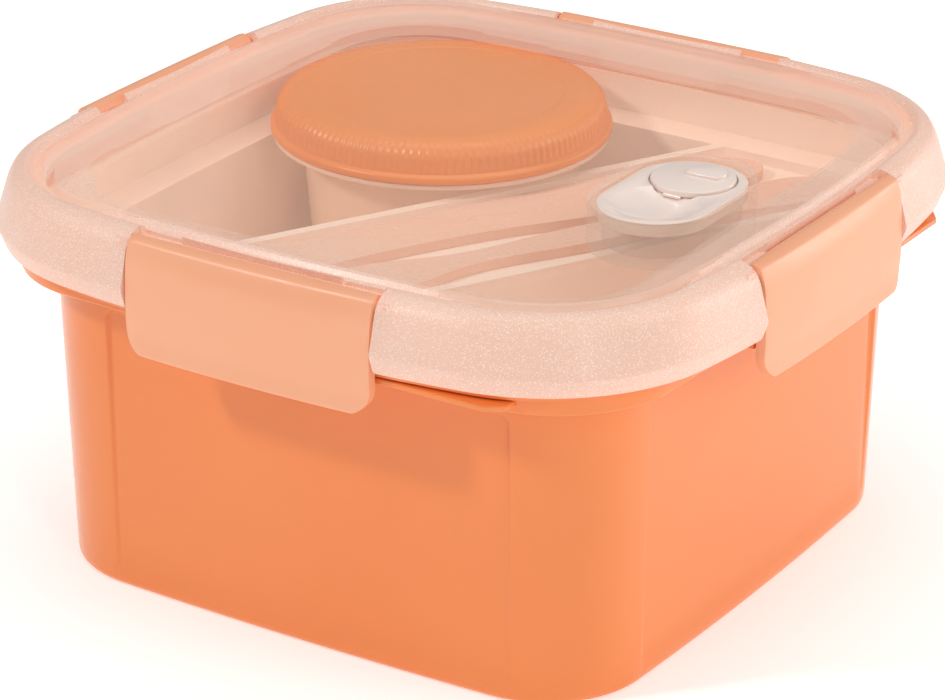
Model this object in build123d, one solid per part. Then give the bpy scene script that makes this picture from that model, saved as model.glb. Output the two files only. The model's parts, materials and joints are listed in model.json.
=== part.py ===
"""Square snap-lid lunch box with a divider tray, dressing cup and cutlery.

All sizes are in millimetres. The box stands on z = 0 with its centre on the Z axis.
-Y is the front side and +X the right side. Each of the four sides carries one clip.
"""
from build123d import *
from math import cos, radians, sin, sqrt
import os

# ---- driving dimensions -------------------------------------------------------------
LID_HALF = 81.5          # widest half width of the lid skirt, at the middle of a side
LID_CORNER = 38.5        # plan corner radius of the skirt
LID_BOW = 3.0            # how far each side of the lid bulges out
SKIRT_BOTTOM = 68.0      # height of the skirt's lower edge
LID_TOP = 83.2           # height of the rounded shoulder
WINDOW_HALF = 61.0       # half width of the flat window
WINDOW_Z = 79.8          # top face of the window
WINDOW_THICK = 1.6

BODY_HALF_BASE = 64.87   # half width of the wall carried down to z = 0
BODY_DRAFT = 0.022       # growth of the half width per millimetre of height
BODY_CORNER = 21.3
BODY_BOW = 0.93
BASE_ROUND = 3.2         # rounding between wall and floor
WALL = 1.8
FLOOR = 1.9
LEDGE_Z = 64.2           # inner ledge that carries the tray
STEP_Z = 61.4            # height where the wall steps out under the ledge
FLANGE_Z = 66.4          # underside of the outer flange
FLANGE_THICK = 1.4
FLANGE_HALF = 77.8
NECK_TOP = 78.0          # lip that the seal presses on
NECK_HALF = 72.2
NECK_CORNER = 24.5
NECK_WALL = 1.2
RAIL_REACH = 76.2        # outer face of the catch rails
RAIL_START = -25.5       # each catch rail reaches from behind its clip
RAIL_END = 53.0          # to a bevelled end near the next corner
RAIL_BEVEL = 3.7
RAIL_Z = 64.8
RAIL_HEIGHT = 1.2

CLIP_HALF_LENGTH = 27.2
CLIP_BOTTOM = 59.5
CLIP_THICK = 2.0
CLIP_BOW = 0.9
CLIP_CORNER = 5.0
HINGE_REACH = 76.4       # clip hinge line, out from the box axis
HINGE_Z = 80.2
KNUCKLE_R = 2.2
PIN_R = 1.20
PIN_CLEARANCE = 0.06
NOTCH_HALF_LENGTH = 27.7
NOTCH_DEPTH = 73.9       # inner wall of the notch in the lid
HOOK_REACH = 74.7        # tip of the hook under the rail
HOOK_TOP = 64.6

VENT_X = 42.0
VENT_Y = 3.4
VENT_HALF_STRAIGHT = 6.6  # the vent is an oval, long in Y
VENT_WELL_R = 13.2        # outside of the moulded well
VENT_PLATE_R = 11.3
VENT_FLOOR_Z = 71.6
FLAP_X = VENT_X
FLAP_Y = 11.4
FLAP_R = 8.4
FLAP_HINGE_Y = 2.4
FLAP_HINGE_Z = 78.5
FLAP_PIN_R = 0.6

TRAY_HALF = 70.6
TRAY_CORNER = 23.0
TRAY_TOP = 65.8
TRAY_SHEET = 1.2
TRAY_COLLAR_TOP = 73.6    # upright collar inside the neck
TRAY_COLLAR = 0.8
TRAY_FLOOR_Z = 36.0       # top face of the compartment floors
TRAY_WELL_HALF = 63.3
TRAY_WELL_CORNER = 19.2
BRIDGE_ANGLE = 62.2       # direction of the cutlery bridge, from +X
BRIDGE_LOW = -10.3        # bridge channel edges, measured square to its direction
BRIDGE_HIGH = 26.3
CHANNEL_DEPTH = 2.2

CUP_X = -30.5
CUP_Y = 33.5
CUP_BOTTOM = TRAY_FLOOR_Z
CUP_BASE_R = 26.0
CUP_TOP_R = 28.0
CUP_FLANGE_R = 35.2
CUP_FLANGE_Z = 67.2
CUP_NECK_R = 32.4
CUP_NECK_TOP = 75.2
CAP_R = 34.6
CAP_FLANGE_R = 35.6
CAP_BOTTOM = 69.2
CAP_TOP = 77.4

SIDES = {"front": 0, "right": 90, "back": 180, "left": 270}


# ---- shared shapes ------------------------------------------------------------------
def outline(half, corner, bow, z=0.0):
    """Face of a rounded square whose sides bulge out by bow between the corners."""
    flat = half - corner
    side_r = (flat * flat + bow * bow) / (2 * bow)
    shift = half - side_r
    root = sqrt(2 * (side_r - corner) ** 2 - shift * shift)
    centre = (shift + root) / 2
    ux = centre - shift
    length = sqrt(ux * ux + centre * centre)
    touch = (shift + side_r * ux / length, side_r * centre / length)
    tip = centre + corner / sqrt(2)
    edges = []
    for quarter in range(4):
        turn = Rot(0, 0, 90 * quarter)
        side = ThreePointArc((touch[0], -touch[1]), (half, 0), touch)
        bend = ThreePointArc(touch, (tip, tip), (touch[1], touch[0]))
        edges += [turn * side, turn * bend]
    return Pos(0, 0, z) * make_face(Wire(edges))


def stack(*sections):
    """Solid through outlines given as (z, half, corner, bow), with straight walls between."""
    return loft([outline(half, corner, bow, z) for z, half, corner, bow in sections], ruled=True)


def block(x0, x1, y0, y1, z0, z1):
    """Axis-aligned box between two corners."""
    centre = Pos((x0 + x1) / 2, (y0 + y1) / 2, (z0 + z1) / 2)
    return centre * Box(x1 - x0, y1 - y0, z1 - z0)


def profile_bar(points, half_length):
    """Bar along X whose section is a polygon of (y, z) points."""
    face = make_face(Polyline(*[(-half_length, y, z) for y, z in points], close=True))
    return extrude(face, amount=2 * half_length, dir=(1, 0, 0))


def rod_x(x0, x1, y, z, r):
    """Round rod along X."""
    return Pos((x0 + x1) / 2, y, z) * Rot(0, 90, 0) * Cylinder(r, x1 - x0)


def oval(r, z0, z1):
    """Upright prism with the vent's oval plan."""
    plan = SlotOverall(2 * (r + VENT_HALF_STRAIGHT), 2 * r, rotation=90)
    return Pos(VENT_X, VENT_Y, z0) * extrude(plan, amount=z1 - z0)


def turned(points):
    """Solid of revolution about the Z axis from (radius, z) points."""
    return revolve(make_face(Polyline(*[(r, 0, z) for r, z in points], close=True)), Axis.Z)


def save(node, shape):
    """Write one named piece."""
    export_step(shape, f"parts/{node}.step")


# ---- container ----------------------------------------------------------------------
def wall_half(z):
    """Outer half width of the wall at height z."""
    return BODY_HALF_BASE + BODY_DRAFT * z


def body_outer():
    """Outside of the wall, with the rounded lower edge."""
    low = wall_half(BASE_ROUND)
    sections = []
    for angle in (90, 60, 30, 0):
        inset = BASE_ROUND * (1 - cos(radians(angle)))
        height = BASE_ROUND * (1 - sin(radians(angle)))
        sections.append((height, low - inset, BODY_CORNER - inset / 2, BODY_BOW))
    sections.append((STEP_Z, wall_half(STEP_Z), BODY_CORNER, BODY_BOW))
    return stack(*sections)


def body_inner():
    """Hollow of the box: drafted wall up to the ledge, then a straight neck."""
    corner = BODY_CORNER - WALL * 0.6
    lower = stack(
        (FLOOR, wall_half(FLOOR) - WALL - 2.2, corner - 1.4, BODY_BOW),
        (FLOOR + 0.8, wall_half(FLOOR) - WALL - 0.7, corner - 0.5, BODY_BOW),
        (FLOOR + 2.4, wall_half(FLOOR + 2.4) - WALL, corner, BODY_BOW),
        (LEDGE_Z, wall_half(LEDGE_Z) - WALL, corner, BODY_BOW),
    )
    neck_half = NECK_HALF - NECK_WALL
    neck_corner = NECK_CORNER - NECK_WALL
    upper = stack(
        (LEDGE_Z, neck_half, neck_corner, BODY_BOW),
        (NECK_TOP + 1, neck_half, neck_corner, BODY_BOW),
    )
    return lower + upper


def side_panels():
    """Shallow recess in each side wall that fades out towards the base."""
    left = -43.0
    right = 47.5
    top = 59.4
    depth = 1.0
    band = body_outer() - stack(
        (0, wall_half(0) - 0.25, BODY_CORNER, BODY_BOW),
        (STEP_Z, wall_half(STEP_Z) - depth, BODY_CORNER, BODY_BOW),
    )
    plan = Pos((left + right) / 2, 0, top / 2 - 4) * Rot(90, 0, 0) * RectangleRounded(right - left, top + 8, 1.6)
    gate = extrude(plan, amount=100, dir=(0, -1, 0)) & block(-100, 100, -100, 100, BASE_ROUND, top + 10)
    cross = gate
    for angle in (90, 180, 270):
        cross += Rot(0, 0, angle) * gate
    return band & cross


def container_body():
    """Deep box with flange, sealing neck and four straight catch rails."""
    shell = body_outer()
    flange_top = FLANGE_Z + FLANGE_THICK
    shell += stack(
        (STEP_Z, wall_half(STEP_Z), BODY_CORNER, BODY_BOW),
        (STEP_Z + 1.9, NECK_HALF, NECK_CORNER, BODY_BOW),
        (NECK_TOP, NECK_HALF, NECK_CORNER, BODY_BOW),
    )
    shell += stack(
        (FLANGE_Z, FLANGE_HALF, LID_CORNER - 2.5, LID_BOW),
        (flange_top, FLANGE_HALF, LID_CORNER - 2.5, LID_BOW),
    )
    inner = NECK_HALF - 0.6
    step = RAIL_REACH - 2.2
    for angle in SIDES.values():
        plan = Polyline(
            (RAIL_START, -inner), (RAIL_START, -RAIL_REACH), (RAIL_END - RAIL_BEVEL, -RAIL_REACH),
            (RAIL_END - 0.5, -step), (RAIL_END, -inner + 3), (RAIL_END - 8, -inner), close=True,
        )
        rail = Pos(0, 0, RAIL_Z) * extrude(make_face(plan), amount=RAIL_HEIGHT)
        shell += Rot(0, 0, angle) * rail
    shell -= body_inner()
    shell -= side_panels()
    foot = stack((-1, 54, 14, BODY_BOW), (0.6, 54, 14, BODY_BOW))
    return shell - foot


# ---- lid ----------------------------------------------------------------------------
def lid_shell():
    """Frosted rim with its hanging skirt, sealing plug and the flat window."""
    shell = stack(
        (SKIRT_BOTTOM, LID_HALF - 1.3, LID_CORNER - 0.9, LID_BOW),
        (SKIRT_BOTTOM + 4, LID_HALF, LID_CORNER, LID_BOW),
        (80.4, 79.3, 37.4, LID_BOW),
        (82.2, 77.4, 34.5, 2.8),
        (LID_TOP, 74.5, 31.0, 2.5),
    )
    bowl = stack((WINDOW_Z, WINDOW_HALF, 20, 1.0), (LID_TOP + 0.1, 71.2, 29, 2.0))
    groove = stack((81.7, 73.4, 30.6, 2.3), (84, 73.4, 30.6, 2.3))
    groove -= stack((81, 72.0, 29.6, 2.1), (85, 72.0, 29.6, 2.1))
    channel = stack(
        (SKIRT_BOTTOM - 1, 78.7, 36.8, LID_BOW),
        (SKIRT_BOTTOM + 4, 80.1, 37.6, LID_BOW),
        (79.2, 77.6, 34.5, 2.8),
        (80.0, 75.5, 30.0, 2.2),
    )
    plug = stack((74.0, 70.4, 28.5, 2.0), (85, 70.4, 28.5, 2.0))
    hollow = stack((60, 69.0, 27.4, 1.9), (81.2, 69.0, 27.4, 1.9))
    keep = stack(
        (WINDOW_Z - WINDOW_THICK, WINDOW_HALF - 1.2, 19.4, 1.0),
        (81.4, 69.9, 28.2, 1.9),
    )
    return shell - bowl - groove - (channel - plug) - (hollow - keep)


def clip_seat_cut():
    """Notch for the front clip, the two pockets beside it and its hinge sockets."""
    cut = block(-NOTCH_HALF_LENGTH, NOTCH_HALF_LENGTH, -95, -NOTCH_DEPTH, 60, 90)
    for side in (-1, 1):
        x_mid = side * 22.5
        cut += block(x_mid - 4.7, x_mid + 4.7, -NOTCH_DEPTH - 0.1, -72.4, 80.8, 90)
        ends = sorted((side * (NOTCH_HALF_LENGTH - 0.1), side * (CLIP_HALF_LENGTH + 3.0)))
        cut += rod_x(*ends, -HINGE_REACH, HINGE_Z, PIN_R + PIN_CLEARANCE)
        mouth = PIN_R - 0.15
        cut += block(*ends, -HINGE_REACH - mouth, -HINGE_REACH + mouth, 74, HINGE_Z)
    return cut


def clip_seat_lugs():
    """Wall behind the front clip and the two lugs that hold its pins."""
    wall = block(-NOTCH_HALF_LENGTH - 1, NOTCH_HALF_LENGTH + 1, -NOTCH_DEPTH, -72.9, 70, 81)
    for side in (-1, 1):
        ends = sorted((side * NOTCH_HALF_LENGTH, side * (CLIP_HALF_LENGTH + 3.7)))
        wall += block(*ends, -77.6, -NOTCH_DEPTH, 77.6, 81.4)
    return wall


def lid():
    """The lid is one moulding: rim, window, hinge lugs and vent well."""
    shape = lid_shell()
    for angle in SIDES.values():
        shape += Rot(0, 0, angle) * clip_seat_lugs()
    for angle in SIDES.values():
        shape -= Rot(0, 0, angle) * clip_seat_cut()
    shape += oval(VENT_WELL_R, VENT_FLOOR_Z - 1.2, WINDOW_Z + 0.4)
    shape -= oval(VENT_PLATE_R - 1.0, VENT_FLOOR_Z, WINDOW_Z + 5)
    shape -= oval(VENT_PLATE_R + 0.1, 76.6, WINDOW_Z + 5)
    vent_hole = Pos(FLAP_X, FLAP_Y, VENT_FLOOR_Z) * Cylinder(2.0, 8)
    return shape - vent_hole


def lid_seal():
    """Silicone ring between the lid and the neck."""
    ring = stack((NECK_TOP + 0.02, 72.6, 24.8, BODY_BOW), (79.95, 72.6, 24.8, BODY_BOW))
    return ring - stack((70, 70.6, 28.8, 1.9), (85, 70.6, 28.8, 1.9))


# ---- clips --------------------------------------------------------------------------
def clip_section(x):
    """Section of the clip's plate at x; the plate bows out while the knuckle stays straight."""
    bow = CLIP_BOW * (1 - (x / CLIP_HALF_LENGTH) ** 2)
    outer = [
        (HINGE_REACH, HINGE_Z + KNUCKLE_R, 0.0),
        (77.7, 81.9, 0.4),
        (78.6, 80.6, 0.8),
        (79.2, 78.4, 1.0),
        (79.5, 73.0, 1.0),
        (79.5, 66.0, 1.0),
        (79.3, 63.4, 1.0),
        (79.6, 61.2, 1.0),
        (79.9, CLIP_BOTTOM, 1.0),
    ]
    inner = [
        (78.5, CLIP_BOTTOM, 1.0),
        (77.7, 61.6, 1.0),
        (77.4, 63.4, 1.0),
        (77.5, 66.0, 1.0),
        (77.5, 73.0, 1.0),
        (77.2, 78.4, 1.0),
        (HINGE_REACH, HINGE_Z, 0.0),
    ]
    points = [(x, -(reach + bow * share), z) for reach, z, share in outer + inner]
    return make_face(Polyline(*points, close=True))


def clip():
    """Front clip: bowed plate, hinge knuckle with two pins, and the hook under the rail."""
    steps = 6
    stations = [CLIP_HALF_LENGTH * (2 * i / steps - 1) for i in range(steps + 1)]
    plate = loft([clip_section(x) for x in stations], ruled=True)
    height = 40.0
    front = RectangleRounded(2 * CLIP_HALF_LENGTH, height, CLIP_CORNER)
    gate = extrude(Pos(0, -80, CLIP_BOTTOM + height / 2) * Rot(90, 0, 0) * front, amount=20, both=True)
    plate = plate & gate
    plate += rod_x(-CLIP_HALF_LENGTH, CLIP_HALF_LENGTH, -HINGE_REACH, HINGE_Z, KNUCKLE_R)
    pin_end = CLIP_HALF_LENGTH + 2.7
    plate += rod_x(-pin_end, pin_end, -HINGE_REACH, HINGE_Z, PIN_R)
    tip = -HOOK_REACH
    hook = [(-78.3, HOOK_TOP), (tip, HOOK_TOP), (tip, 63.9), (tip - 0.7, 63.2), (-78.3, 62.6)]
    return plate + profile_bar(hook, 20.0)


# ---- steam vent ---------------------------------------------------------------------
def vent_plate():
    """White oval insert with a finger scoop, a round flap seat and two hinge sockets."""
    top = 79.2
    plate = oval(VENT_PLATE_R, 76.6, top)
    scoop_r = 22.0
    scoop_depth = 2.0
    scoop = Pos(VENT_X, VENT_Y - 7.4, top + scoop_r - scoop_depth) * Sphere(scoop_r)
    plate -= scoop & block(VENT_X - 10, VENT_X + 10, VENT_Y - 17.2, FLAP_HINGE_Y - 1.5, 70, 90)
    plate -= Pos(FLAP_X, FLAP_Y, 78.4) * Cylinder(FLAP_R + 0.5, 4, align=(Align.CENTER, Align.CENTER, Align.MIN))
    plate -= Pos(FLAP_X, FLAP_Y, 76) * Cylinder(3.1, 10)
    plate -= block(FLAP_X - 4.6, FLAP_X + 4.6, FLAP_HINGE_Y - 1.3, FLAP_HINGE_Y + 2.6, 77.3, 82)
    for side in (-1, 1):
        ends = sorted((FLAP_X + side * 4.5, FLAP_X + side * 6.4))
        plate -= rod_x(*ends, FLAP_HINGE_Y, FLAP_HINGE_Z, FLAP_PIN_R + 0.05)
    return plate


def vent_flap():
    """Round flap with a D-shaped lifting tab, hinged at the edge of the scoop."""
    disc = Pos(FLAP_X, FLAP_Y, 78.55) * Cylinder(FLAP_R, 1.25, align=(Align.CENTER, Align.CENTER, Align.MIN))
    disc -= block(FLAP_X - 10, FLAP_X + 10, -10, FLAP_HINGE_Y + 1.5, 70, 90)
    disc += block(FLAP_X - 4.3, FLAP_X + 4.3, FLAP_HINGE_Y, FLAP_HINGE_Y + 3, 78.55, 79.4)
    disc += rod_x(FLAP_X - 4.3, FLAP_X + 4.3, FLAP_HINGE_Y, FLAP_HINGE_Z, 1.0)
    disc += rod_x(FLAP_X - 6.2, FLAP_X + 6.2, FLAP_HINGE_Y, FLAP_HINGE_Z, FLAP_PIN_R)
    tab = Cylinder(4.0, 0.7, align=(Align.CENTER, Align.CENTER, Align.MIN))
    tab &= block(-4, 4, -2.2, 4, 0, 1)
    return disc + Pos(FLAP_X + 1.5, FLAP_Y + 2.6, 79.7) * tab


def vent_plug():
    """Silicone stopper under the flap."""
    return Pos(FLAP_X, FLAP_Y, 0) * turned([(0, 77.2), (1.6, 77.2), (2.3, 77.7), (2.3, 78.55), (0, 78.55)])


# ---- contents -----------------------------------------------------------------------
def strip(low, high, length, z0, z1):
    """Slab along the bridge direction, low to high square to it."""
    slab = Pos(0, -(low + high) / 2, (z0 + z1) / 2) * Box(length, high - low, z1 - z0)
    return Rot(0, 0, BRIDGE_ANGLE) * slab


def tray_well(low, high, inset, z0, z1):
    """Space of one compartment, shrunk by inset, on one side of the bridge."""
    half = TRAY_WELL_HALF - inset
    draft = 2.0
    corner = TRAY_WELL_CORNER - inset
    space = stack((z0, half - draft, corner - 1, 0.6), (z1, half, corner, 0.6))
    return space & strip(low + inset, high - inset, 240, z0 - 1, z1 + 1)


def inner_tray():
    """Tray with two compartments and a slanting bridge that carries the cutlery."""
    shape = stack((TRAY_TOP - 1.5, TRAY_HALF, TRAY_CORNER, BODY_BOW), (TRAY_TOP, TRAY_HALF, TRAY_CORNER, BODY_BOW))
    collar = stack((TRAY_TOP - 1, TRAY_HALF, TRAY_CORNER, BODY_BOW), (TRAY_COLLAR_TOP, TRAY_HALF, TRAY_CORNER, BODY_BOW))
    inside = (TRAY_HALF - TRAY_COLLAR, TRAY_CORNER - TRAY_COLLAR, BODY_BOW)
    shape += collar - stack((TRAY_TOP, *inside), (TRAY_COLLAR_TOP + 1, *inside))
    sides = ((-100, BRIDGE_LOW - TRAY_SHEET), (BRIDGE_HIGH + TRAY_SHEET, 100))
    for low, high in sides:
        shape += tray_well(low - TRAY_SHEET, high + TRAY_SHEET, 0, TRAY_FLOOR_Z - TRAY_SHEET, TRAY_TOP)
    bridge = strip(BRIDGE_LOW - TRAY_SHEET, BRIDGE_HIGH + TRAY_SHEET, 240, 62.4, TRAY_TOP)
    reach = (TRAY_WELL_HALF, TRAY_WELL_CORNER, 0.6)
    shape += bridge & stack((60, *reach), (70, *reach))
    for low, high in sides:
        shape -= tray_well(low, high, TRAY_SHEET, TRAY_FLOOR_Z, TRAY_TOP + 0.01)
    channel = strip(BRIDGE_LOW, BRIDGE_HIGH, 240, TRAY_TOP - CHANNEL_DEPTH, TRAY_TOP + 5)
    reach = (TRAY_WELL_HALF - TRAY_SHEET, TRAY_WELL_CORNER - TRAY_SHEET, 0.6)
    return shape - (channel & stack((60, *reach), (75, *reach)))


def sauce_cup():
    """Round dressing cup with a carrying flange and a neck for the cap."""
    outer = [
        (0, CUP_BOTTOM + 1.4), (CUP_BASE_R - 3, CUP_BOTTOM + 1.4), (CUP_BASE_R - 3, CUP_BOTTOM),
        (CUP_BASE_R - 1.2, CUP_BOTTOM), (CUP_BASE_R, CUP_BOTTOM + 1.4), (CUP_TOP_R, CUP_FLANGE_Z),
        (CUP_FLANGE_R, CUP_FLANGE_Z), (CUP_FLANGE_R, CUP_FLANGE_Z + 1.1), (CUP_NECK_R, CUP_FLANGE_Z + 1.1),
        (CUP_NECK_R, 70.6), (CUP_NECK_R + 0.4, 71.1), (CUP_NECK_R + 0.4, 71.9), (CUP_NECK_R, 72.4),
        (CUP_NECK_R, CUP_NECK_TOP),
    ]
    inner = [
        (CUP_NECK_R - 1.3, CUP_NECK_TOP), (CUP_NECK_R - 1.3, CUP_FLANGE_Z + 1.1),
        (CUP_TOP_R - 1.3, CUP_FLANGE_Z - 1.0), (CUP_BASE_R - 1.2, CUP_BOTTOM + 4.2),
        (CUP_BASE_R - 3.2, CUP_BOTTOM + 2.8), (0, CUP_BOTTOM + 2.8),
    ]
    return Pos(CUP_X, CUP_Y, 0) * turned(outer + inner)


def cup_cap():
    """Screw cap with a rounded shoulder and a small foot flange."""
    shoulder = 4.6
    arc = [
        (CAP_R - 0.5 - shoulder * 1.2 * (1 - cos(radians(a))), CAP_TOP - shoulder * (1 - sin(radians(a))))
        for a in (0, 18, 36, 54, 72, 90)
    ]
    hollow_r = CUP_NECK_R + 0.7
    points = [
        (hollow_r, CAP_BOTTOM), (CAP_FLANGE_R, CAP_BOTTOM), (CAP_FLANGE_R, CAP_BOTTOM + 1.5),
        (CAP_R, CAP_BOTTOM + 2.1), *arc, (0, CAP_TOP), (0, CUP_NECK_TOP + 0.8),
        (hollow_r - 1.2, CUP_NECK_TOP + 0.8), (hollow_r, CUP_NECK_TOP - 0.4),
    ]
    return Pos(CUP_X, CUP_Y, 0) * turned(points)


def cup_seal():
    """Thin liner disc inside the cap."""
    return Pos(CUP_X, CUP_Y, CUP_NECK_TOP + 0.02) * Cylinder(
        CUP_NECK_R - 0.6, 0.76, align=(Align.CENTER, Align.CENTER, Align.MIN)
    )


def along_bridge(points, thickness):
    """Flat piece lying in the bridge channel, from (along, across) outline points."""
    plan = make_face(Spline(*[(t, -n) for t, n in points], periodic=True))
    return Pos(0, 0, TRAY_TOP - CHANNEL_DEPTH) * Rot(0, 0, BRIDGE_ANGLE) * extrude(plan, amount=thickness)


def knife():
    """Flat table knife, handle towards the front and blade towards the back."""
    return along_bridge(
        [(-66, 0), (-62, -6.6), (-40, -7.6), (-10, -7.4), (20, -7.9), (50, -7.9), (64, -3.5),
         (66, 1.5), (58, 7.5), (40, 10.2), (20, 9.6), (4, 7.2), (-14, 6.0), (-40, 7.2), (-62, 6.0)],
        2.1,
    )


def fork():
    """Four-tined fork lying beside the knife, tines towards the front."""
    shape = along_bridge(
        [(74, 17), (71, 21.4), (50, 22.0), (10, 21.2), (-16, 20.6), (-28, 23.6), (-42, 24.6), (-56, 24.2),
         (-58, 17), (-56, 9.8), (-42, 9.4), (-28, 10.4), (-16, 13.2), (10, 12.8), (50, 12.6), (71, 12.6)],
        2.1,
    )
    for gap in (-4.0, 0.0, 4.0):
        slot = strip(17.0 + gap - 0.75, 17.0 + gap + 0.75, 34, 60, 70)
        slide_along = Vector(cos(radians(BRIDGE_ANGLE)), sin(radians(BRIDGE_ANGLE)), 0) * -53
        shape -= Pos(slide_along) * slot
    return shape


# ---- write the pieces ---------------------------------------------------------------
os.makedirs("parts", exist_ok=True)
save("container_body", container_body())
save("lid", lid())
save("lid_seal", lid_seal())
front_clip = clip()
for side_name, side_angle in SIDES.items():
    save(f"clip_{side_name}", Rot(0, 0, side_angle) * front_clip)
save("vent_plate", vent_plate())
save("vent_flap", vent_flap())
save("vent_plug", vent_plug())
save("inner_tray", inner_tray())
save("sauce_cup", sauce_cup())
save("cup_cap", cup_cap())
save("cup_seal", cup_seal())
save("knife", knife())
save("fork", fork())
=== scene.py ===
"""Snap-lid lunch box: looks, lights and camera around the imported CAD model."""
import json
from math import atan2, cos, hypot, pi, radians, sin, sqrt

import bmesh
import bpy
import numpy as np
from mathutils import Matrix, Vector


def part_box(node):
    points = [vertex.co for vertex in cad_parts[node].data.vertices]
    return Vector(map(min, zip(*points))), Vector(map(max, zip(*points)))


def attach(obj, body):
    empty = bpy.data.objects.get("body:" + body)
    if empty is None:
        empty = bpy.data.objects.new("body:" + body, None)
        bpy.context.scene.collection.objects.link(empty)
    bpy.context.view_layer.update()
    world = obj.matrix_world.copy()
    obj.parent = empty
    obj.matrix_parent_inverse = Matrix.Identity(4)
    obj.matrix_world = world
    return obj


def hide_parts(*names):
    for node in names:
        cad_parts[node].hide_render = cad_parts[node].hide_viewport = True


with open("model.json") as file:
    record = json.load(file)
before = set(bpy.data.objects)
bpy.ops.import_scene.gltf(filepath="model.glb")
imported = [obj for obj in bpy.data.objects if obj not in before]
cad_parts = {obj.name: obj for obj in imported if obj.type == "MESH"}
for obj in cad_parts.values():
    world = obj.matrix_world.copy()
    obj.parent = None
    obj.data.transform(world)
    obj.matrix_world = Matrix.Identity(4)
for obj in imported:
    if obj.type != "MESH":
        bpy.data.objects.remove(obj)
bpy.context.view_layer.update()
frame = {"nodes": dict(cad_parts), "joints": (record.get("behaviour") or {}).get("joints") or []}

MM = 0.001
SIDES = {"front": 0, "right": 90, "back": 180, "left": 270}


# ---- sizes read from the frame, in millimetres --------------------------------------
def box_mm(node):
    """Lowest and highest corner of a CAD node, in millimetres."""
    low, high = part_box(node)
    return [c / MM for c in low], [c / MM for c in high]


def joint_mm(name):
    """Position of a joint, in millimetres."""
    found = next(j for j in frame["joints"] if j["name"] == name)
    return [c / MM for c in found["pos_m"]]


BODY_HIGH = box_mm("container_body")[1]
LID_LOW, LID_HIGH = box_mm("lid")
CLIP_LOW, CLIP_HIGH = box_mm("clip_front")
CAP_LOW, CAP_HIGH = box_mm("cup_cap")
CUP_LOW, CUP_HIGH = box_mm("sauce_cup")
FLAP_LOW, FLAP_HIGH = box_mm("vent_flap")
PLATE_LOW, PLATE_HIGH = box_mm("vent_plate")

NECK_TOP = BODY_HIGH[2]
FLANGE_HALF = BODY_HIGH[0]
SKIRT_BOTTOM = LID_LOW[2]
LID_TOP = LID_HIGH[2]
WINDOW_Z = LID_TOP - 3.4
WINDOW_HALF = 61.0
CUP_X = (CUP_LOW[0] + CUP_HIGH[0]) / 2
CUP_Y = (CUP_LOW[1] + CUP_HIGH[1]) / 2
VENT_X = (PLATE_LOW[0] + PLATE_HIGH[0]) / 2
VENT_Y = (PLATE_LOW[1] + PLATE_HIGH[1]) / 2
VENT_R = (PLATE_HIGH[0] - PLATE_LOW[0]) / 2
VENT_STRAIGHT = (PLATE_HIGH[1] - PLATE_LOW[1]) / 2 - VENT_R
FLAP_X = (FLAP_LOW[0] + FLAP_HIGH[0]) / 2
FLAP_R = (FLAP_HIGH[0] - FLAP_LOW[0]) / 2
FLAP_Y = FLAP_HIGH[1] - FLAP_R
HINGE_REACH = -joint_mm("clip_front_hinge")[1]
HINGE_Z = joint_mm("clip_front_hinge")[2]

# outline of the box wall and of the lid: plan corner radius, and bulge of each side
WALL_BASE_HALF, WALL_DRAFT = 64.87, 0.022
WALL_CORNER, WALL_BOW = 21.3, 0.93
LID_CORNER, LID_BOW = 38.5, 3.0
LID_HALF = 81.5

# clips: half length of the plate, and the lid's notch for it
CLIP_HALF_LENGTH = 27.2
NOTCH_HALF = 27.7
NOTCH_REACH = 73.9

# catch rails and the hooks under them, on the front side
RAIL_Z = 64.8
RAIL_HEIGHT = 1.2
RAIL_REACH = 76.2
HOOK_TOP = 64.6
HOOK_REACH = 74.7

# rings round an axis stop at this radius; the cup and the cap are closed by a tiny inner tube
AXIS_R = 0.02


def wall_half(z):
    """Outer half width of the drafted wall at height z."""
    return WALL_BASE_HALF + WALL_DRAFT * z


# ---- mesh helpers -------------------------------------------------------------------
def half_steps(*stretches):
    """Positions from 0 to 1 along half a side, from (end, count) stretches."""
    values = [0.0]
    for end, count in stretches:
        values += list(np.linspace(values[-1], end, count + 1)[1:])
    return values


HALF_SIDE = half_steps((0.90, 14), (1.0, 26))
SIDE_STEPS = [-u for u in reversed(HALF_SIDE[1:])] + HALF_SIDE
CORNER_STEPS = half_steps((0.12, 14), (1.0, 26))[1:-1]


def ring(z, half, corner, bow):
    """Points once round a rounded square whose sides bulge out by bow."""
    flat = half - corner
    side_r = (flat * flat + bow * bow) / (2 * bow)
    shift = half - side_r
    centre = (shift + sqrt(2 * (side_r - corner) ** 2 - shift * shift)) / 2
    reach = atan2(centre, centre - shift)
    quarter = [(shift + side_r * cos(u * reach), side_r * sin(u * reach)) for u in SIDE_STEPS]
    for v in CORNER_STEPS:
        angle = reach + v * (pi / 2 - 2 * reach)
        quarter.append((centre + corner * cos(angle), centre + corner * sin(angle)))
    points = []
    for turn in range(4):
        c, s = (1, 0, -1, 0)[turn], (0, 1, 0, -1)[turn]
        points += [(x * c - y * s, x * s + y * c, z) for x, y in quarter]
    return np.array(points)


def circle(radius, z, count=96, x=0.0, y=0.0):
    """Points round a circle."""
    angles = np.linspace(0, 2 * pi, count, endpoint=False)
    return np.c_[x + radius * np.cos(angles), y + radius * np.sin(angles), np.full(count, z)]


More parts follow.
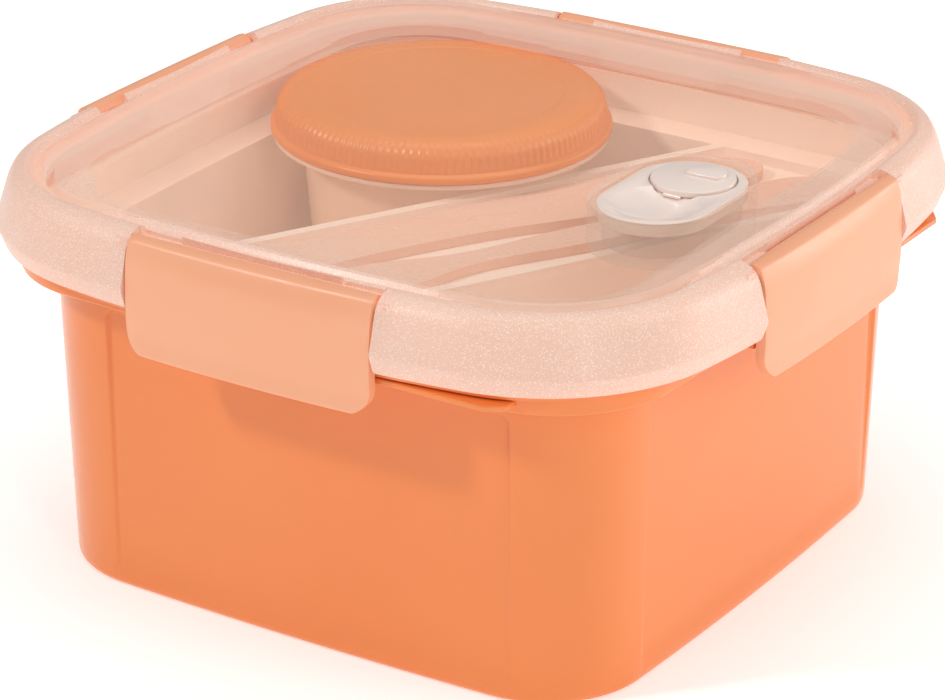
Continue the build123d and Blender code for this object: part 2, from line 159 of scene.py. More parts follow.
def rounded(points, steps=5):
    """Profile with softened corners. The last number of each point is its corner's size."""
    out = []
    for i, here in enumerate(points):
        p = np.array(here[:-1], float)
        size = here[-1]
        if size == 0 or i in (0, len(points) - 1):
            out.append(p)
            continue
        a = np.array(points[i - 1][:-1], float)
        b = np.array(points[i + 1][:-1], float)
        reach_a = hypot(a[0] - p[0], a[1] - p[1])
        reach_b = hypot(b[0] - p[0], b[1] - p[1])
        cut = min(size, 0.48 * reach_a, 0.48 * reach_b)
        start = p + (a - p) * cut / reach_a
        end = p + (b - p) * cut / reach_b
        for t in np.linspace(0, 1, steps):
            out.append((1 - t) ** 2 * start + 2 * t * (1 - t) * p + t * t * end)
    return out


def new_piece(name, verts_mm, faces):
    """Mesh object from points in millimetres."""
    mesh = bpy.data.meshes.new(name)
    mesh.from_pydata([tuple(c * MM for c in v) for v in verts_mm], [], faces)
    mesh.validate()
    piece = bpy.data.objects.new(name, mesh)
    bpy.context.scene.collection.objects.link(piece)
    return piece


def skin(name, rings, closed=False):
    """Solid through rings of equal length; closed joins the last ring to the first."""
    count = len(rings[0])
    verts = np.vstack(rings)
    faces = []
    for i in range(len(rings) if closed else len(rings) - 1):
        low, high = i * count, ((i + 1) % len(rings)) * count
        for j in range(count):
            k = (j + 1) % count
            faces.append((low + j, low + k, high + k, high + j))
    if not closed:
        last = (len(rings) - 1) * count
        faces.append(tuple(reversed(range(count))))
        faces.append(tuple(range(last, last + count)))
    piece = new_piece(name, verts, faces)
    outward(piece)
    return piece


def outward(piece):
    """Turn all face normals outwards."""
    bm = bmesh.new()
    bm.from_mesh(piece.data)
    bmesh.ops.recalc_face_normals(bm, faces=bm.faces)
    bm.to_mesh(piece.data)
    bm.free()


def settle(piece):
    """Apply a piece's modifiers to its mesh."""
    graph = bpy.context.evaluated_depsgraph_get()
    mesh = bpy.data.meshes.new_from_object(piece.evaluated_get(graph))
    mesh.name = piece.name
    piece.modifiers.clear()
    piece.data = mesh
    return piece


def combine(piece, tool, operation="DIFFERENCE"):
    """Cut a piece by a tool, or keep what they share; the tool is used up."""
    step = piece.modifiers.new("combine", "BOOLEAN")
    step.operation = operation
    step.solver = "EXACT"
    step.object = tool
    settle(piece)
    bpy.data.objects.remove(tool)
    return piece


def soften(piece, width_mm, segments=3, angle=40):
    """Rounded edges all over a piece."""
    step = piece.modifiers.new("soften", "BEVEL")
    step.width = width_mm * MM
    step.segments = segments
    step.limit_method = "ANGLE"
    step.angle_limit = radians(angle)
    step.use_clamp_overlap = True
    return settle(piece)


def shade(piece, angle=35):
    """Smooth shading that keeps real corners sharp."""
    mesh = piece.data
    mesh.polygons.foreach_set("use_smooth", [True] * len(mesh.polygons))
    mesh.set_sharp_from_angle(angle=radians(angle))
    mesh.update()
    return piece


def join(name, pieces):
    """One piece from several."""
    bm = bmesh.new()
    for piece in pieces:
        mesh = piece.data
        mesh.transform(piece.matrix_world)
        bm.from_mesh(mesh)
    mesh = bpy.data.meshes.new(name)
    bm.to_mesh(mesh)
    bm.free()
    for piece in pieces:
        bpy.data.objects.remove(piece)
    whole = bpy.data.objects.new(name, mesh)
    bpy.context.scene.collection.objects.link(whole)
    return whole


def prism(name, plan, z0, z1):
    """Upright prism from plan points."""
    bottom = np.array([(x, y, z0) for x, y in plan])
    top = np.array([(x, y, z1) for x, y in plan])
    return skin(name, [bottom, top])


def slab(name, x0, x1, y0, y1, z0, z1):
    """Axis-aligned box."""
    return prism(name, [(x0, y0), (x1, y0), (x1, y1), (x0, y1)], z0, z1)


def bar_x(name, section, x0, x1):
    """Bar along X with a (y, z) section."""
    return skin(name, [np.array([(x, y, z) for y, z in section]) for x in (x0, x1)])


def rod_x(name, x0, x1, y, z, r, count=40):
    """Round rod along X."""
    angles = np.linspace(0, 2 * pi, count, endpoint=False)
    return bar_x(name, [(y + r * cos(a), z + r * sin(a)) for a in angles], x0, x1)


def arc(cx, cy, r, start, end, count):
    """Plan points on an arc, angles in degrees."""
    return [(cx + r * cos(radians(a)), cy + r * sin(radians(a))) for a in np.linspace(start, end, count)]


def oval(r):
    """Plan points of the vent's oval."""
    upper = arc(VENT_X, VENT_Y + VENT_STRAIGHT, r, 0, 180, 41)
    return upper + arc(VENT_X, VENT_Y - VENT_STRAIGHT, r, 180, 360, 41)


def turn_z(piece, degrees):
    """Turn a piece's mesh about the box axis."""
    piece.data.transform(Matrix.Rotation(radians(degrees), 4, "Z"))
    return piece


def copy_of(piece, name):
    """Separate copy of a piece."""
    twin = bpy.data.objects.new(name, piece.data.copy())
    bpy.context.scene.collection.objects.link(twin)
    return twin


def place(piece, body, slot, material, *nodes):
    """Put a finished piece on its body, in place of CAD nodes."""
    piece.data.materials.clear()
    for item in material if isinstance(material, list) else [material]:
        piece.data.materials.append(item)
    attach(piece, body)
    if nodes:
        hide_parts(*nodes)
    return piece


# ---- materials ----------------------------------------------------------------------
def colour(code):
    """Linear colour from an sRGB hex code."""
    parts = [int(code[i:i + 2], 16) / 255 for i in (0, 2, 4)]
    linear = [c / 12.92 if c <= 0.04045 else ((c + 0.055) / 1.055) ** 2.4 for c in parts]
    return (*linear, 1.0)


class Nodes:
    """Small helper that builds one procedural material."""

    def __init__(self, name):
        self.material = bpy.data.materials.new(name)
        self.material.use_nodes = True
        self.tree = self.material.node_tree
        self.tree.nodes.clear()
        self.place = self.node("ShaderNodeTexCoord").outputs["Object"]

    def node(self, kind, **settings):
        made = self.tree.nodes.new(kind)
        for key, value in settings.items():
            setattr(made, key, value)
        return made

    def link(self, source, target):
        self.tree.links.new(source, target)

    def noise(self, scale, detail=2.0, roughness=0.5):
        made = self.node("ShaderNodeTexNoise")
        made.inputs["Scale"].default_value = scale
        made.inputs["Detail"].default_value = detail
        made.inputs["Roughness"].default_value = roughness
        self.link(self.place, made.inputs["Vector"])
        return made.outputs["Fac"]

    def spread(self, source, low, high, from_low=0.35, from_high=0.65):
        made = self.node("ShaderNodeMapRange")
        made.inputs["From Min"].default_value = from_low
        made.inputs["From Max"].default_value = from_high
        made.inputs["To Min"].default_value = low
        made.inputs["To Max"].default_value = high
        self.link(source, made.inputs["Value"])
        return made.outputs["Result"]

    def mix_colour(self, factor, first, second):
        made = self.node("ShaderNodeMix", data_type="RGBA")
        self.link(factor, made.inputs["Factor"])
        for value, socket in ((first, made.inputs[6]), (second, made.inputs[7])):
            if isinstance(value, tuple):
                socket.default_value = value
            else:
                self.link(value, socket)
        return made.outputs[2]

    def bump(self, height, distance, strength=1.0):
        made = self.node("ShaderNodeBump")
        made.inputs["Distance"].default_value = distance
        made.inputs["Strength"].default_value = strength
        self.link(height, made.inputs["Height"])
        return made.outputs["Normal"]

    def shader(self, base, roughness, normal=None, **sockets):
        made = self.node("ShaderNodeBsdfPrincipled")
        for value, name in ((base, "Base Color"), (roughness, "Roughness")):
            if isinstance(value, (tuple, float)):
                made.inputs[name].default_value = value
            else:
                self.link(value, made.inputs[name])
        if normal is not None:
            self.link(normal, made.inputs["Normal"])
        for name, value in sockets.items():
            made.inputs[name.replace("_", " ")].default_value = value
        return made.outputs["BSDF"]

    def clear(self, tint):
        made = self.node("ShaderNodeBsdfTransparent")
        made.inputs["Color"].default_value = tint
        return made.outputs["BSDF"]

    def blend(self, factor, first, second, shadow=0.1):
        """Mix of a see-through and a solid shader; shadow is the share of the solid's shadow kept."""
        made = self.node("ShaderNodeMixShader")
        rays = self.node("ShaderNodeLightPath")
        dim = self.spread(rays.outputs["Is Shadow Ray"], 1.0, shadow, 0.0, 1.0)
        product = self.node("ShaderNodeMath", operation="MULTIPLY")
        self.link(factor, product.inputs[0])
        self.link(dim, product.inputs[1])
        self.link(product.outputs[0], made.inputs[0])
        self.link(first, made.inputs[1])
        self.link(second, made.inputs[2])
        return made.outputs[0]

    def done(self, surface):
        out = self.node("ShaderNodeOutputMaterial")
        self.link(surface, out.inputs["Surface"])
        return self.material


def moulded(name, code, shade_code, gloss, grain, coat=0.0):
    """Injection-moulded plastic: faint flow mottling, fine surface ripple and uneven gloss."""
    m = Nodes(name)
    mottling = m.spread(m.noise(22, 4.0), 0.0, 1.0)
    base = m.mix_colour(mottling, colour(code), colour(shade_code))
    rough = m.spread(m.noise(160, 3.0), gloss * 0.88, gloss * 1.12)
    normal = m.bump(m.noise(900, 2.0), grain * MM)
    return m.done(m.shader(base, rough, normal, Coat_Weight=coat, Coat_Roughness=0.06))


def frosted(name):
    """Spark-eroded frosted rim: milky peach plastic with a fine bumped grain; its glitter is painted
    glints, lighter specks in the colour.
    """
    m = Nodes(name)
    grain = m.node("ShaderNodeTexVoronoi")
    grain.inputs["Scale"].default_value = 1500
    m.link(m.place, grain.inputs["Vector"])
    fine = m.noise(3400, 2.0, 0.6)
    painted_glints = m.spread(fine, 0.0, 1.0, 0.52, 0.66)
    cloud = m.spread(m.noise(35, 3.0), 0.0, 1.0)
    base = m.mix_colour(cloud, colour("f4d0bd"), colour("f0c8b3"))
    # painted glints: lighter specks mixed into the colour stand in for the frost's sparkle
    base = m.mix_colour(painted_glints, base, colour("fbeae0"))
    normal = m.bump(grain.outputs["Distance"], 0.05 * MM, 0.9)
    solid = m.shader(base, 0.42, normal, Specular_IOR_Level=0.55, Coat_Weight=0.15, Coat_Roughness=0.2)
    thick = m.spread(cloud, 0.80, 0.86, 0.0, 1.0)
    return m.done(m.blend(thick, m.clear((1.0, 0.90, 0.84, 1.0)), solid))


def window_clear(name):
    """Clear tinted window: see-through, with a trace of haze and reflections that grow at a glance."""
    m = Nodes(name)
    glance = m.node("ShaderNodeLayerWeight")
    glance.inputs["Blend"].default_value = 0.5
    sharp = m.node("ShaderNodeMath", operation="POWER")
    m.link(glance.outputs["Facing"], sharp.inputs[0])
    sharp.inputs[1].default_value = 4.0
    haze = m.spread(m.noise(40, 3.0), 0.01, 0.03)
    weight = m.node("ShaderNodeMath", operation="MULTIPLY_ADD", use_clamp=True)
    m.link(sharp.outputs[0], weight.inputs[0])
    weight.inputs[1].default_value = 0.45
    m.link(haze, weight.inputs[2])
    ripple = m.bump(m.noise(30, 1.0), 0.004 * MM)
    skin_shader = m.shader(colour("f6d9c8"), 0.04, ripple, Specular_IOR_Level=0.5)
    return m.done(m.blend(weight.outputs[0], m.clear((1.0, 0.99, 0.975, 1.0)), skin_shader))


def milky(name, code, see_through, gloss=0.3, tint=(1.0, 0.93, 0.88, 1.0), painted_glow=0.0):
    """Thin translucent plastic; tint colours what shows through, and the glow setting is painted light:
    an emission in the part's own colour that brightens it and lifts its shade.
    """
    m = Nodes(name)
    cloud = m.spread(m.noise(30, 3.0), 0.0, 1.0)
    base = m.mix_colour(cloud, colour(code), tuple(c * 0.97 for c in colour(code)))
    normal = m.bump(m.noise(300, 2.0), 0.02 * MM)
    # painted light: the part glows by emission in its own colour, which brightens it and lifts its shade
    painted_glow_sockets = {"Emission_Color": colour(code), "Emission_Strength": painted_glow}
    solid = m.shader(base, gloss, normal, Specular_IOR_Level=0.5, **painted_glow_sockets)
    clear_weight = m.spread(m.noise(55, 2.0), 1 - see_through - 0.02, 1 - see_through + 0.02)
    return m.done(m.blend(clear_weight, m.clear(tint), solid))


FAINT_WARM = (1.0, 0.985, 0.97, 1.0)
BODY_ORANGE = moulded("body_orange", "ee8947", "ec8543", 0.20, 0.012, coat=0.12)
CAP_ORANGE = moulded("cap_orange", "f29246", "f08e42", 0.34, 0.015)
CLIP_PEACH = moulded("clip_peach", "f4af89", "f2aa83", 0.36, 0.015)
CUTLERY_PEACH = moulded("cutlery_peach", "f6cdb8", "f3c6b0", 0.28, 0.02, coat=0.2)
VENT_WHITE = moulded("vent_white", "f8e6dc", "f5e2d7", 0.22, 0.012, coat=0.3)
SILICONE = milky("silicone", "f1e4da", 0.15, 0.5)
# the tray and the cup carry painted light: a small emission glow that brightens the inside of the box
TRAY_CLEAR = milky("tray_clear", "f9e3d4", 0.08, painted_glow=0.08)
CUP_CLEAR = milky("cup_clear", "f8dcc8", 0.22, 0.18, painted_glow=0.06)
LID_SLOPE = milky("lid_slope", "f8dccb", 0.62, 0.16, FAINT_WARM)
WELL_CLEAR = milky("well_clear", "fdeee6", 0.80, 0.05, FAINT_WARM)
LID_FROST = frosted("lid_frost")
LID_WINDOW = window_clear("lid_window")
LID_FINISHES = [LID_FROST, LID_WINDOW, LID_SLOPE, WELL_CLEAR]


# ---- container ----------------------------------------------------------------------
PANEL_LEFT = -43.0
PANEL_RIGHT = 47.5
PANEL_TOP = 59.4
PANEL_DEPTH = 1.0
PANEL_DEPTH_AT_BASE = 0.28
PANEL_ROUND = 1.8
PANEL_EDGE = 0.9
STEP_Z = 61.4
TRAY_LEDGE_Z = 64.2
NECK_HALF, NECK_CORNER, NECK_WALL = 72.2, 24.5, 1.2
FLANGE_THICK = 1.4


def panel_inset(along, z):
    """Depth of the side panel's recess; along runs to the right as one faces the wall."""
    middle = (PANEL_LEFT + PANEL_RIGHT) / 2
    dx = abs(along - middle) - (PANEL_RIGHT - PANEL_LEFT) / 2 + PANEL_ROUND
    dz = z - (PANEL_TOP - PANEL_ROUND)
    outside = hypot(dx, dz) - PANEL_ROUND if dx > 0 and dz > 0 else max(dx, dz) - PANEL_ROUND
    edge = min(max(0.5 - outside / PANEL_EDGE, 0.0), 1.0)
    smooth = edge * edge * (3 - 2 * edge)
    fade = min(max((z - 3.0) / 56.0, 0.0), 1.0)
    return smooth * (PANEL_DEPTH_AT_BASE + (PANEL_DEPTH - PANEL_DEPTH_AT_BASE) * fade)


def with_panels(points):
    """Sink the wall points that lie inside a side panel."""
    out = points.copy()
    for i, (x, y, z) in enumerate(points):
        if abs(x) > abs(y):
            out[i][0] -= np.sign(x) * panel_inset(y * np.sign(x), z)
        else:
            out[i][1] -= np.sign(y) * panel_inset(-x * np.sign(y), z)
    return out


def container():
    """Box shell: foot ring, drafted walls, flange, sealing neck, tray ledge."""
    flange_z = SKIRT_BOTTOM - 1.6
    flange_corner = LID_CORNER - 2.5
    neck = (NECK_HALF, NECK_CORNER, WALL_BOW)
    neck_in = (NECK_HALF - NECK_WALL, NECK_CORNER - NECK_WALL, WALL_BOW)
    inner_corner = WALL_CORNER - 1.1
    base = wall_half(0)
    profile = rounded([
        (0.6, 8.0, 2.0, 0.1, 0),
        (0.6, 53.4, 14.0, WALL_BOW, 0.4),
        (0.0, 54.0, 14.6, WALL_BOW, 0.4),
        (0.0, base, WALL_CORNER, WALL_BOW, 3.6),
        (4.0, wall_half(4.0), WALL_CORNER, WALL_BOW, 0),
    ], 7)
    wall_rows = list(np.linspace(5, 54, 14)) + list(np.linspace(55, STEP_Z - 0.6, 32))
    outside = [np.array((z, wall_half(z), WALL_CORNER, WALL_BOW)) for z in wall_rows]
    upper = rounded([
        (STEP_Z - 0.4, wall_half(STEP_Z), WALL_CORNER, WALL_BOW, 0),
        (STEP_Z, wall_half(STEP_Z), WALL_CORNER, WALL_BOW, 0.4),
        (STEP_Z + 1.9, *neck, 0.4),
        (flange_z, *neck, 0.5),
        (flange_z, FLANGE_HALF, flange_corner, LID_BOW, 0.4),
        (flange_z + FLANGE_THICK, FLANGE_HALF, flange_corner, LID_BOW, 0.5),
        (flange_z + FLANGE_THICK, *neck, 0.4),
        (NECK_TOP, *neck, 0.4),
        (NECK_TOP, *neck_in, 0.4),
        (TRAY_LEDGE_Z, *neck_in, 0.3),
        (TRAY_LEDGE_Z, wall_half(TRAY_LEDGE_Z) - 1.8, inner_corner, WALL_BOW, 0.4),
        (1.9, wall_half(1.9) - 2.0, inner_corner, WALL_BOW, 4.0),
        (1.9, 8.0, 2.0, 0.1, 0),
    ], 6)
    rings = [ring(*p) for p in profile]
    rings += [with_panels(ring(*p)) for p in outside]
    rings += [ring(*p) for p in upper]
    return skin("box_shell", rings)


def catch_rail():
    """Straight rail that the front clip's hook grips, with one bevelled end."""
    start, end, inner = -25.5, 53.0, 71.6
    plan = [
        (start, -inner),
        (start, -RAIL_REACH),
        (end - 3.7, -RAIL_REACH),
        (end - 0.5, -RAIL_REACH + 2.2),
        (end, -inner + 3),
        (end - 8, -inner),
    ]
    rail = prism("rail", plan, RAIL_Z, RAIL_Z + RAIL_HEIGHT)
    return soften(rail, 0.25, 3)


def make_container():
    """Box shell with its four rails, as one piece."""
    rail = catch_rail()
    rails = [turn_z(copy_of(rail, "rail_copy"), angle) for angle in SIDES.values()]
    bpy.data.objects.remove(rail)
    box = join("container", [container(), *rails])
    shade(box, 40)
    place(box, "container", "body_orange", BODY_ORANGE, "container_body")


# ---- lid ----------------------------------------------------------------------------
def lid_profile():
    """Section of the lid from the middle of its top face round to the middle underneath."""
    skirt_mid = SKIRT_BOTTOM + 4.0
    under = WINDOW_Z - 1.6
    return rounded([
        (WINDOW_Z, 30.0, 10.0, 0.5, 0),
        (WINDOW_Z, WINDOW_HALF, 20.0, 1.0, 1.6),
        (LID_TOP, 71.0, 28.9, 2.0, 0.7),
        (81.6, 72.1, 29.7, 2.1, 0.5),
        (81.6, 73.2, 30.4, 2.3, 0.5),
        (LID_TOP - 0.1, 74.3, 31.0, 2.5, 0.9),
        (82.3, 77.4, 34.5, 2.8, 2.4),
        (80.2, 79.35, 37.4, LID_BOW, 2.4),
        (skirt_mid, LID_HALF, LID_CORNER, LID_BOW, 0.5),
        (SKIRT_BOTTOM, LID_HALF - 1.4, LID_CORNER - 0.9, LID_BOW, 0.5),
        (SKIRT_BOTTOM, 78.8, 36.9, LID_BOW, 0.3),
        (skirt_mid, 80.1, 37.6, LID_BOW, 1.0),
        (79.2, 77.6, 34.5, 2.8, 1.0),
        (80.0, 75.5, 30.0, 2.2, 0.5),
        (80.0, 70.5, 28.6, 2.0, 0.3),
        (74.0, 70.4, 28.5, 2.0, 0.5),
        (74.0, 69.0, 27.4, 1.9, 0.5),
        (80.9, 69.0, 27.4, 1.9, 0.4),
        (under, WINDOW_HALF - 1.2, 19.4, 1.0, 0.8),
        (under, 30.0, 10.0, 0.5, 0),
    ], 6)


def notch_cutter():
    """Front notch for a clip; its lower corners flare so the skirt's ends are rounded."""
    flare = 0.9
    foot = SKIRT_BOTTOM + 0.02
    right = [(NOTCH_HALF, 92)]
    for t in np.linspace(0, pi / 2, 8):
        right.append((NOTCH_HALF + flare * (1 - cos(t)), foot + flare * (1 - sin(t))))
    right.append((NOTCH_HALF + flare, 60))
    outline = right + [(-x, z) for x, z in reversed(right)]
    near = np.array([(x, -95.0, z) for x, z in outline])
    far = np.array([(x, -NOTCH_REACH, z) for x, z in outline])
    return skin("notch", [near, far])


def make_lid():
    """Lid moulding: frosted rim, clear window, notches, hinge pockets and vent well."""
    shell = skin("lid_shell", [ring(*p) for p in lid_profile()])
    for angle in SIDES.values():
        combine(shell, turn_z(notch_cutter(), angle))
        for side in (-1, 1):
            x0, x1 = sorted((side * 17.8, side * 27.2))
            pocket = slab("pocket", x0, x1, -NOTCH_REACH - 0.1, -72.4, 80.8, 90)
            combine(shell, turn_z(pocket, angle))
    combine(shell, prism("vent_hole", oval(VENT_R + 1.5), 70, 90))
    parts = [shell]
    for angle in SIDES.values():
        wall = slab("wall", -NOTCH_HALF - 1, NOTCH_HALF + 1, -NOTCH_REACH, -72.9, 70, 80.9)
        parts.append(turn_z(soften(wall, 0.2, 2), angle))
        for side in (-1, 1):
            x0, x1 = sorted((side * NOTCH_HALF, side * 30.9))
            lug = slab("lug", x0, x1, -77.5, -NOTCH_REACH, 77.6, 81.4)
            parts.append(turn_z(soften(lug, 0.3, 2), angle))
    parts.append(vent_well())
    whole = join("lid_moulding", parts)
    shade(whole, 38)
    place(whole, "lid", "lid_clear_tint", LID_FINISHES, "lid")
    for face in whole.data.polygons:
        x, y, z = (c / MM for c in face.center)
        over_vent = abs(x - VENT_X) < VENT_R + 2.5 and abs(y - VENT_Y) < VENT_R + VENT_STRAIGHT + 2.5
        off_window = z > WINDOW_Z + 0.05 or z < WINDOW_Z - 1.65
        if over_vent and off_window:
            face.material_index = LID_FINISHES.index(WELL_CLEAR)
        elif within(x, y, WINDOW_HALF - 0.3, 20.0):
            face.material_index = LID_FINISHES.index(LID_WINDOW)
        elif within(x, y, 70.2, 28.2):
            face.material_index = LID_FINISHES.index(LID_SLOPE)


def within(x, y, half, corner):
    """True inside a rounded square in plan."""
    dx, dy = max(abs(x) - half + corner, 0), max(abs(y) - half + corner, 0)
    return hypot(dx, dy) <= corner


def vent_well():
    """Raised collar and moulded oval well under the window."""
    floor = PLATE_LOW[2] - 5.0
    levels = rounded([
        (floor - 1.2, -6.0, 0),
        (floor - 1.2, 1.9, 0.8),
        (WINDOW_Z - 0.1, 1.9, 0.2),
        (WINDOW_Z + 0.4, 1.9, 0.5),
        (WINDOW_Z + 0.4, 0.15, 0.3),
        (PLATE_LOW[2], 0.15, 0.2),
        (PLATE_LOW[2], -1.0, 0.2),
        (floor, -1.0, 0.8),
        (floor, -6.0, 0),
    ], 5)
    return skin("well", [np.array([(x, y, z) for x, y in oval(VENT_R + d)]) for z, d in levels])


# ---- clips --------------------------------------------------------------------------
def clip_profile(bow):
    """Closed section of a clip as (reach, z); bow moves the plate outwards."""
    top = HINGE_Z + 2.2
    points = rounded([
        (75.2, top - 0.5, 0.0, 0),
        (HINGE_REACH - 0.3, top, 0.0, 0.6),
        (78.0, 81.9, 0.4, 1.6),
        (79.1, 78.2, 1.0, 3.0),
        (79.5, 72.0, 1.0, 4.0),
        (79.5, 66.0, 1.0, 2.0),
        (79.25, 63.3, 1.0, 2.0),
        (79.9, CLIP_LOW[2] + 0.4, 1.0, 0.8),
        (79.5, CLIP_LOW[2], 1.0, 0.3),
        (78.5, CLIP_LOW[2] + 0.1, 1.0, 0.3),
        (77.7, 61.6, 1.0, 0.8),
        (77.4, 63.4, 1.0, 1.0),
        (77.5, 66.0, 1.0, 1.0),
        (77.5, 73.0, 1.0, 1.0),
        (77.2, 78.0, 1.0, 0.6),
        (HINGE_REACH + 0.9, HINGE_Z - 2.0, 0.2, 0),
    ], 6)
    knuckle = arc(HINGE_REACH, HINGE_Z, 2.2, -75, -235, 17)
    return [(reach + bow * share, z) for reach, z, share in points] + knuckle


def clip_piece():
    """Front clip with a bowed satin plate, rounded lower corners, hook and pins."""
    rings = []
    for x in np.linspace(-CLIP_HALF_LENGTH, CLIP_HALF_LENGTH, 25):
        bow = 0.9 * (1 - (x / CLIP_HALF_LENGTH) ** 2)
        rings.append(np.array([(x, -reach, z) for reach, z in clip_profile(bow)]))
    plate = skin("plate", rings)
    corner = 5.0
    half, low = CLIP_HALF_LENGTH + 0.001, CLIP_LOW[2] - 0.01
    corners = arc(half - corner, low + corner, corner, 270, 360, 12)
    outline = [(half, 95)] + [(x, z) for x, z in reversed(corners)]
    outline += [(-x, z) for x, z in reversed(outline)]
    near = np.array([(x, -90.0, z) for x, z in outline])
    far = np.array([(x, -70.0, z) for x, z in outline])
    combine(plate, skin("gate", [near, far]), "INTERSECT")
    soften(plate, 0.55, 4, angle=50)
    pin_end = (CLIP_HIGH[0] - CLIP_LOW[0]) / 2
    pins = rod_x("pins", -pin_end, pin_end, -HINGE_REACH, HINGE_Z, 1.2)
    tip = -HOOK_REACH
    hook = [(-78.3, HOOK_TOP), (tip, HOOK_TOP), (tip, 63.9), (tip - 0.7, 63.2), (-78.3, 62.6)]
    bar = soften(bar_x("hook", hook, -20, 20), 0.2, 2)
    return shade(join("clip", [plate, soften(pins, 0.2, 2), bar]), 42)


def make_clips():
    """The same clip on each side."""
    pattern = clip_piece()
    for side, angle in SIDES.items():
        clip = turn_z(copy_of(pattern, f"snap_clip_{side}"), angle)
        place(clip, f"clip_{side}", "clip_peach", CLIP_PEACH, f"clip_{side}")
    bpy.data.objects.remove(pattern)


# ---- steam vent ---------------------------------------------------------------------
def dish(x, y, top, ball, depth):
    """Cutter for a round hollow: the part of a ball that dips below the top."""
    levels = np.linspace(0, depth + 1, 16)[1:]
    rings = [circle(sqrt(2 * ball * h - h * h), top - depth + h, 72, x, y) for h in levels]
    return skin("dish", rings)


def make_vent():
    """Oval insert with a deep finger dish, and the round flap with its D-shaped tab."""
    low, top = PLATE_LOW[2], PLATE_HIGH[2]
    insert = prism("vent_insert", oval(VENT_R), low, top)
    combine(insert, dish(VENT_X, VENT_Y - 6.4, top, 19.0, 2.2))
    seat_plan = arc(FLAP_X, FLAP_Y, FLAP_R + 0.35, 0, 355, 72)
    combine(insert, prism("seat", seat_plan, top - 0.8, top + 5))
    bore_plan = arc(FLAP_X, FLAP_Y, 3.1, 0, 350, 36)
    combine(insert, prism("bore", bore_plan, low - 1, top))
    soften(insert, 0.25, 3)
    place(shade(insert, 42), "lid", "vent_white", VENT_WHITE, "vent_plate")
    hinge_y, hinge_z = joint_mm("vent_flap_hinge")[1:]
    round_plan = arc(FLAP_X, FLAP_Y, FLAP_R, 0, 355, 72)
    disc = prism("disc", round_plan, top - 0.65, top + 0.6)
    tab_plan = arc(FLAP_X + 1.5, FLAP_Y + 2.6, 4.0, -33, 213, 40)
    tab = prism("tab", tab_plan, top + 0.4, FLAP_HIGH[2])
    rod = rod_x("rod", FLAP_X - 1.8, FLAP_X + 1.8, hinge_y + 0.7, hinge_z, 0.4)
    flap = join("vent_lifting_flap", [soften(disc, 0.25, 3), soften(tab, 0.25, 3), rod])
    place(shade(flap, 42), "vent_flap", "vent_white", VENT_WHITE, "vent_flap")


# ---- dressing cup -------------------------------------------------------------------
RIBS = 132
RIB_DEPTH = 0.26


def make_cap():
    """Screw cap with fine upright ribs round its side."""
    bottom, top = CAP_LOW[2], CAP_HIGH[2]
    wide = (CAP_HIGH[0] - CAP_LOW[0]) / 2
    side = wide - 1.0
    hollow = 33.1
    rib_low, rib_high = bottom + 1.95, top - 0.2
    profile = rounded([
        (bottom, hollow, 0),
        (bottom, wide, 0.35),
        (bottom + 1.4, wide, 0.5),
        (bottom + 1.9, side, 0.4),
        (rib_low, side, 0),
        (rib_low + 0.5, side, 0),
        (top - 2.6, side - 0.4, 1.2),
        (top - 0.9, side - 1.9, 1.1),
        (top, side - 5.0, 1.3),
        (top - 0.05, 26.0, 0.3),
        (top - 0.25, 25.6, 0.3),
        (top - 0.25, 12.0, 0),
        (top - 0.25, AXIS_R, 0),
    ], 6)
    under = rounded([
        (top - 1.4, AXIS_R, 0),
        (top - 1.4, hollow - 1.2, 0.4),
        (top - 2.6, hollow, 0.4),
        (bottom, hollow, 0),
    ], 4)
    rings = []
    count = RIBS * 6
    wave = 0.5 + 0.5 * np.cos(np.linspace(0, 2 * pi * RIBS, count, endpoint=False))
    for z, radius in [*profile, *under[:-1]]:
        points = circle(radius, z, count)
        if side - 4.2 < radius < side + 0.1 and rib_low <= z <= rib_high:
            height = min((z - rib_low) / 0.4, 1) * min((rib_high - z) / 1.2, 1)
            points[:, :2] *= (1 - RIB_DEPTH * height * wave / radius)[:, None]
        rings.append(points + np.array((CUP_X, CUP_Y, 0)))
    cap = skin("ribbed_cap", rings, closed=True)
    place(shade(cap, 50), "cap", "cap_orange", CAP_ORANGE, "cup_cap")


def make_cup():
    """Translucent dressing cup."""
    bottom, top = CUP_LOW[2], CUP_HIGH[2]
    flange_r = (CUP_HIGH[0] - CUP_LOW[0]) / 2
    flange_z = CAP_LOW[2] - 1.3
    profile = rounded([
        (bottom + 1.4, AXIS_R, 0),
        (bottom + 1.4, 23.5, 0.5),
        (bottom, 23.9, 0.4),
        (bottom, 25.2, 0.6),
        (bottom + 1.4, 26.5, 1.0),
        (flange_z, 29.0, 0.8),
        (flange_z, flange_r, 0.35),
        (flange_z + 1.1, flange_r, 0.35),
        (flange_z + 1.1, 32.4, 0.3),
        (70.8, 32.4, 0.3),
        (71.2, 32.8, 0.2),
        (71.8, 32.8, 0.2),
        (72.3, 32.4, 0.3),
        (top, 32.4, 0.4),
        (top, 31.1, 0.4),
        (flange_z + 1.1, 31.1, 0.8),
        (flange_z - 1.0, 27.7, 0.8),
        (bottom + 4.2, 25.3, 2.0),
        (bottom + 2.8, 23.0, 2.0),
        (bottom + 2.8, AXIS_R, 0),
    ], 5)
    rings = [circle(radius, z, 128, CUP_X, CUP_Y) for z, radius in profile]
    cup = skin("dressing_cup", rings, closed=True)
    place(shade(cup, 45), "cup", "tray_clear", CUP_CLEAR, "sauce_cup")


# ---- tray, cutlery and seals --------------------------------------------------------
def finish_cad_nodes():
    """Tray, cutlery and seals keep their CAD shape and get their own materials."""
    finishes = {
        "inner_tray": TRAY_CLEAR,
        "knife": CUTLERY_PEACH,
        "fork": CUTLERY_PEACH,
        "lid_seal": SILICONE,
        "cup_seal": SILICONE,
        "vent_plug": SILICONE,
    }
    for node, material in finishes.items():
        mesh = shade(frame["nodes"][node], 30).data
        mesh.materials.clear()
        mesh.materials.append(material)


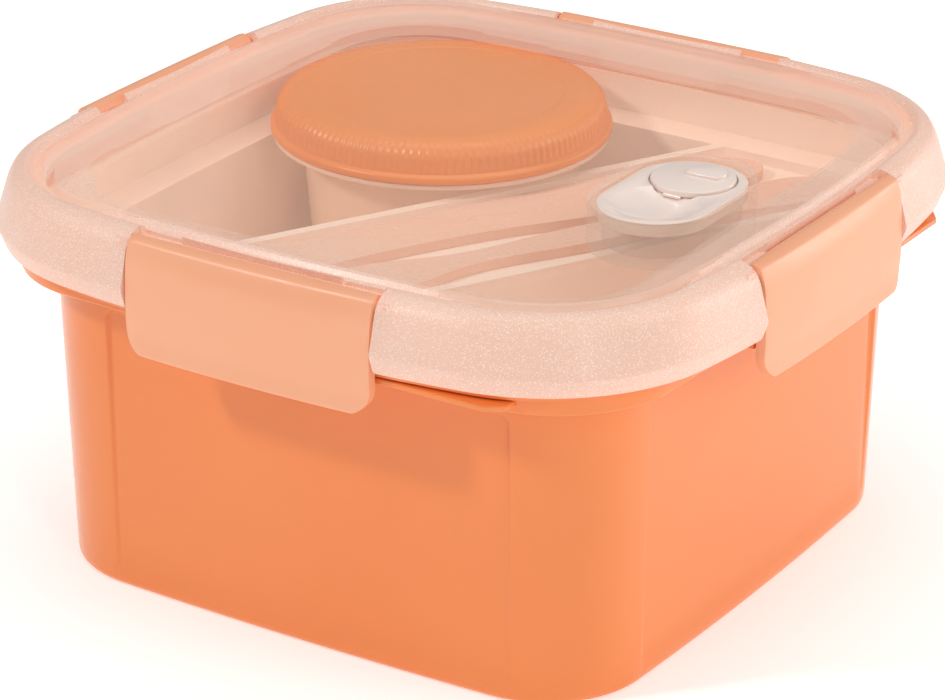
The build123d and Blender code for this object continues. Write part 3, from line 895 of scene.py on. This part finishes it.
# ---- camera, floor and lights -------------------------------------------------------
def make_camera():
    """Long lens above the front right corner, close enough to fill the frame."""
    azimuth, elevation, roll = radians(32.472), radians(23.532), radians(0.209)
    distance = 0.7678
    target = Vector((0.012773, -0.022197, 0.048528))
    back = Vector((sin(azimuth) * cos(elevation), -cos(azimuth) * cos(elevation), sin(elevation)))
    side = (-back).cross(Vector((0, 0, 1))).normalized()
    up = side.cross(-back)
    right = side * cos(roll) + up * sin(roll)
    top = up * cos(roll) - side * sin(roll)
    data = bpy.data.cameras.new("camera")
    data.lens = 150.79
    data.sensor_width = 36.0
    data.clip_start = 0.05
    camera = bpy.data.objects.new("camera", data)
    bpy.context.scene.collection.objects.link(camera)
    axes = Matrix((right, top, back)).transposed().to_4x4()
    camera.matrix_world = Matrix.Translation(target + back * distance) @ axes
    bpy.context.scene.camera = camera


def soft_box(name, place_at, aim, width, height, power, tint=(1.0, 1.0, 1.0)):
    """Rectangular studio light aimed at a point."""
    data = bpy.data.lights.new(name, "AREA")
    data.shape = "RECTANGLE"
    data.size = width
    data.size_y = height
    data.energy = power
    data.color = tint
    light = bpy.data.objects.new(name, data)
    light.location = place_at
    direction = Vector(aim) - Vector(place_at)
    light.rotation_euler = direction.to_track_quat("-Z", "Y").to_euler()
    bpy.context.scene.collection.objects.link(light)


def make_studio():
    """Pale floor, and soft lights from the left, the right, above and behind."""
    floor = skin("floor", [circle(3000, -1.0, 64), circle(3000, 0.0, 64)])
    m = Nodes("floor_pale")
    tone = m.mix_colour(m.spread(m.noise(3, 2.0), 0.0, 1.0), colour("fbfaf9"), colour("f9f8f7"))
    table = m.shader(tone, 0.9, Emission_Color=(1.0, 1.0, 1.0, 1.0), Emission_Strength=0.35)
    floor.data.materials.append(m.done(table))
    middle = (0, 0, 0.05)
    soft_box("key_left", (-0.53, -0.73, 0.84), middle, 0.13, 0.13, 4.3)
    soft_box("fill_right", (1.05, 0.05, 0.75), middle, 0.6, 0.6, 2.2)
    soft_box("top", (0.0, 0.1, 1.3), middle, 1.0, 1.0, 5.0)
    soft_box("sheen_right", (1.0, 1.15, 0.35), middle, 1.0, 0.6, 7.5)
    soft_box("front_strip", (0.75, -0.55, 0.35), middle, 0.12, 0.7, 1.3)
    world = bpy.data.worlds.new("studio")
    bpy.context.scene.world = world
    world.use_nodes = True
    sky = world.node_tree.nodes["Background"]
    sky.inputs["Color"].default_value = (1.0, 0.99, 0.98, 1.0)
    sky.inputs["Strength"].default_value = 0.31
    bpy.context.scene.view_settings.view_transform = "Standard"


make_camera()
make_container()
make_lid()
make_clips()
make_vent()
make_cap()
make_cup()
finish_cad_nodes()
make_studio()
